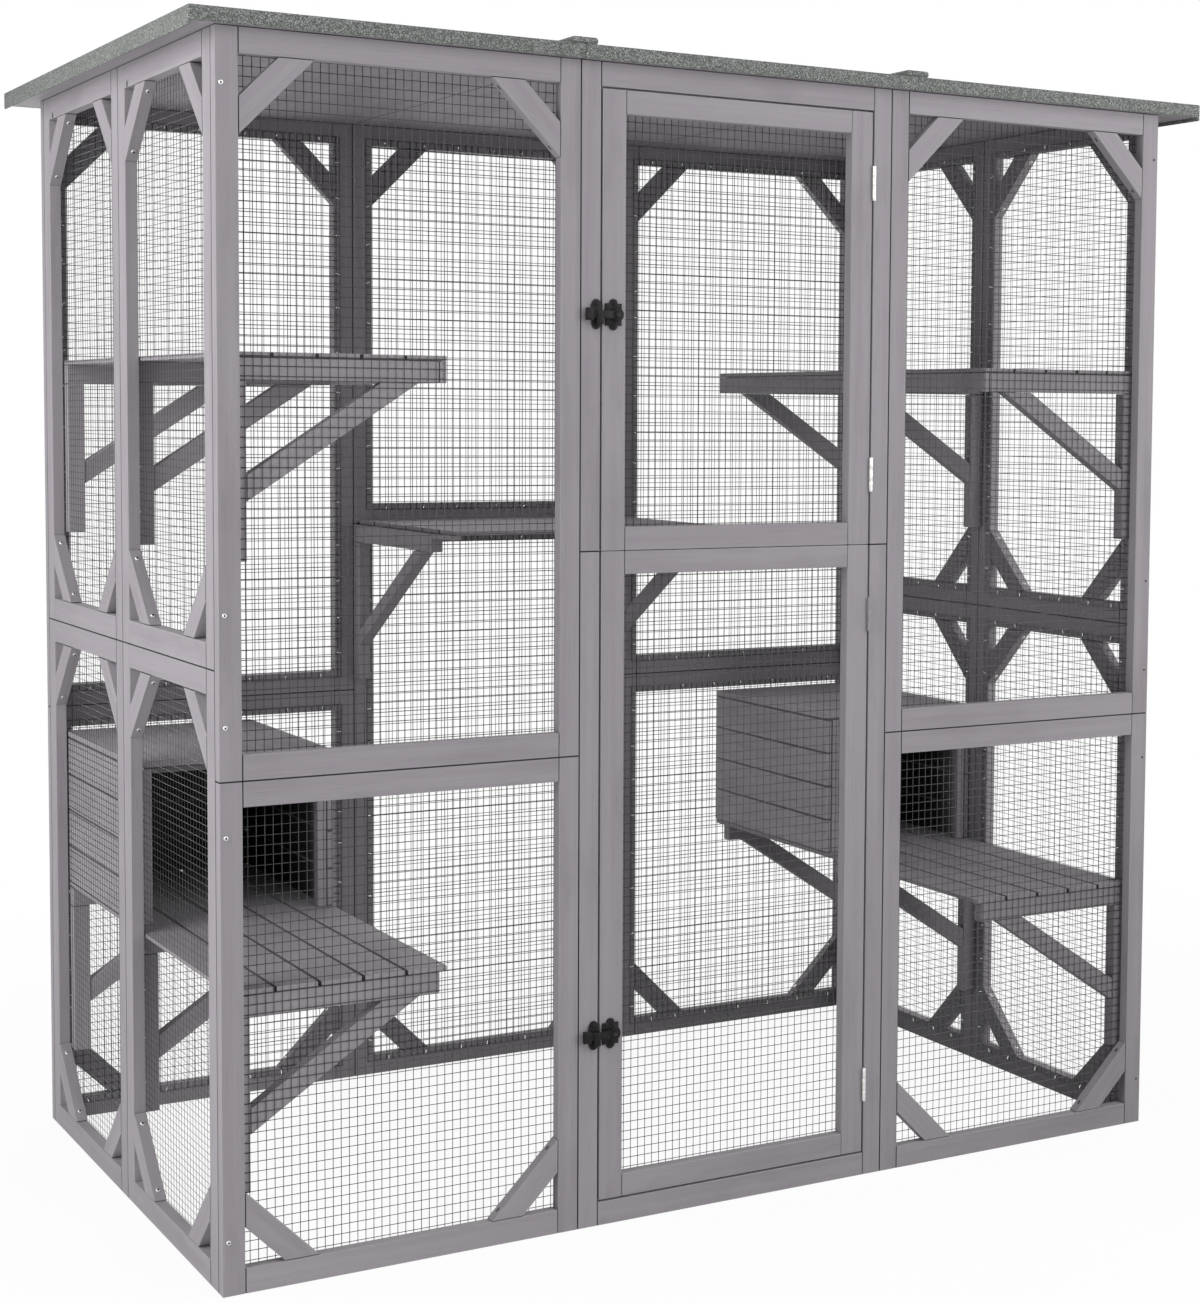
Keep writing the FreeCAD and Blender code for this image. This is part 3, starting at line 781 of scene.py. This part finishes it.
# Roof: three stained boards under bitumen felt faced with fine grey-green stone, which wraps down over
# their edges. Battens in the same felt cover the two joints.
FELT_EDGE = 0.0038
FELT_DARK = (0.085, 0.091, 0.086, 1)
FELT_MID = (0.185, 0.196, 0.187, 1)
FELT_PALE = (0.430, 0.450, 0.435, 1)
STONE_SCALE = 820.0
STONE_DRIFT = 0.2
STONE_RELIEF = 0.6
STONE_HOLLOW = 0.4


def stone_felt():
    finish = Finish(bpy.data.materials.new("stone_felt"))
    spot = finish.spot()
    stones = {"Vector": spot, "Scale": STONE_SCALE}
    chips = finish.add("ShaderNodeTexVoronoi", {}, stones, "Color")
    chip = finish.add("ShaderNodeSeparateColor", {}, {"Color": chips}, "Red")
    depth = finish.add("ShaderNodeTexVoronoi", {}, stones, "Distance")
    drift = finish.noise(spot, scale=14.0, detail=3.0)
    colour = finish.mix(finish.ramp(chip, low=0.05, high=0.6), FELT_DARK, FELT_MID)
    pale = finish.ramp(chip + drift * STONE_DRIFT, low=0.76, high=1.0)
    colour = finish.mix(pale, colour, FELT_PALE)
    relief = chip * STONE_RELIEF - depth * STONE_HOLLOW
    return finish.surface(Base_Color=colour, Roughness=0.95,
                          Normal=finish.bump(relief, distance=0.0013, strength=0.8))


STONE_FELT = stone_felt()
joinery = Joinery("roof_boards")
for faces in solids("roof_boards"):
    joinery.lath(faces)
joinery.piece()
for node in ("roof_felts", "roof_battens"):
    settle(eased(node + "_stone", node, FELT_EDGE, STONE_FELT), "enclosure", "felt", node)

# Studio: a pale floor, soft boxes on the left, in front and behind, and the photograph's camera.
# The floor and the sky look white to the camera and in reflections, but the floor throws more light from
# the left, and the sky more from the right.
WHITE = (1, 1, 1, 1)
FLOOR_REACH = 14.0
FLOOR_DROP = 0.0005
FLOOR_WHITE = (0.95, 0.95, 0.95, 1)
BOUNCE_LEFT = (0.90, 0.90, 0.90, 1)
BOUNCE_RIGHT = (0.22, 0.22, 0.22, 1)
BOUNCE_SPAN = (-1.3, 0.8)
FLOOR_LIFT = 0.60
FLOOR_GLOW = 0.93
GLOW_NEAR = 1.1
GLOW_FAR = 2.6
SKY_LEFT = 0.04
SKY_RIGHT = 0.58
SKY_TURN = 0.6
LAMP_AIM = Vector((0, 0, 0.9))
LAMPS = (("left_low", (-2.9, -0.8, 0.5), 2.0, 17.0), ("left_high", (-3.0, -0.7, 2.4), 2.0, 58.0),
         ("front_right", (1.7, -2.5, 1.5), 1.8, 32.0), ("front_high", (0.4, -2.8, 3.8), 2.4, 28.0),
         ("back", (0.6, 3.3, 1.4), 2.4, 54.0))
CAMERA_PLACE = (-1.88178, -3.72745, 1.27720)
CAMERA_TURN = math.radians(31.217)
CAMERA_TILT = math.radians(-3.7995)
CAMERA_ROLL = math.radians(0.5215)
FOCAL_PIXELS = 2313.92
CENTRE_PIXELS = (780.0, 568.16)
IMAGE_PIXELS = (1200, 1303)
SENSOR = 36.0


def seen(finish):
    """One for the camera and for reflected or passed light, zero for the light that falls on things."""
    rays = [finish.add("ShaderNodeLightPath", {}, {}, name)
            for name in ("Is Camera Ray", "Is Glossy Ray", "Is Transmission Ray")]
    return finish.ramp(rays[0] + rays[1] + rays[2], low=0.0, high=1.0)


floor_mesh = bpy.data.meshes.new("floor")
floor_mesh.from_pydata([(-FLOOR_REACH, -FLOOR_REACH, 0), (FLOOR_REACH, -FLOOR_REACH, 0),
                        (FLOOR_REACH, FLOOR_REACH, 0), (-FLOOR_REACH, FLOOR_REACH, 0)], [], [(0, 1, 2, 3)])
paint = Finish(bpy.data.materials.new("pale_floor"))
view = seen(paint)
spot = paint.spot()
across = paint.add("ShaderNodeSeparateXYZ", {}, {"Vector": spot}, "X")
rightward = paint.ramp(across, *BOUNCE_SPAN)
bounce = paint.mix(rightward, BOUNCE_LEFT, BOUNCE_RIGHT)
ground = paint.add("ShaderNodeBsdfDiffuse", {}, {"Color": paint.mix(view, bounce, FLOOR_WHITE)})
glow = paint.add("ShaderNodeEmission", {}, {"Color": WHITE, "Strength": 1.0})
away = paint.add("ShaderNodeVectorMath", {"operation": "LENGTH"}, {0: spot}, "Value")
share = paint.ramp(away, GLOW_NEAR, GLOW_FAR) * (1 - FLOOR_GLOW) + FLOOR_GLOW
lift = (1 - rightward) * (1 - view) * FLOOR_LIFT
blend = paint.add("ShaderNodeMixShader", {}, {0: view * share + lift, 1: ground, 2: glow})
paint.add("ShaderNodeOutputMaterial", {}, {"Surface": blend})
floor = place("floor", floor_mesh, paint.owner)
floor.location.z = -FLOOR_DROP
floor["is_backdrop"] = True

scene = bpy.context.scene
scene.view_settings.view_transform = "Standard"
sky = Finish(bpy.data.worlds.new("studio"))
way = sky.add("ShaderNodeTexCoord", {}, {}, "Generated")
across = sky.add("ShaderNodeSeparateXYZ", {}, {"Vector": way}, "X")
light = sky.ramp(across, -SKY_TURN, SKY_TURN) * (SKY_RIGHT - SKY_LEFT) + SKY_LEFT
view = seen(sky)
dome = sky.add("ShaderNodeBackground", {}, {"Color": WHITE, "Strength": light * (1 - view) + view})
sky.add("ShaderNodeOutputWorld", {}, {"Surface": dome})
scene.world = sky.owner

for name, spot, size, power in LAMPS:
    lamp = bpy.data.objects.new(name, bpy.data.lights.new(name, "AREA"))
    lamp.data.shape = "SQUARE"
    lamp.data.size = size
    lamp.data.energy = power
    lamp.location = spot
    lamp.rotation_euler = (lamp.location - LAMP_AIM).to_track_quat("Z", "Y").to_euler()
    scene.collection.objects.link(lamp)

camera = bpy.data.objects.new("camera", bpy.data.cameras.new("camera"))
longest = max(IMAGE_PIXELS)
camera.data.sensor_width = SENSOR
camera.data.lens = FOCAL_PIXELS / longest * SENSOR
camera.data.shift_x = (IMAGE_PIXELS[0] / 2 - CENTRE_PIXELS[0]) / longest
camera.data.shift_y = (CENTRE_PIXELS[1] - IMAGE_PIXELS[1] / 2) / longest
turn = Matrix.Rotation(-CAMERA_TURN, 4, "Z") @ Matrix.Rotation(math.pi / 2 + CAMERA_TILT, 4, "X")
camera.matrix_world = Matrix.Translation(CAMERA_PLACE) @ turn @ Matrix.Rotation(CAMERA_ROLL, 4, "Z")
scene.collection.objects.link(camera)
scene.camera = camera

[[list(corner) for corner in box] for box in (cad_box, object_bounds())]
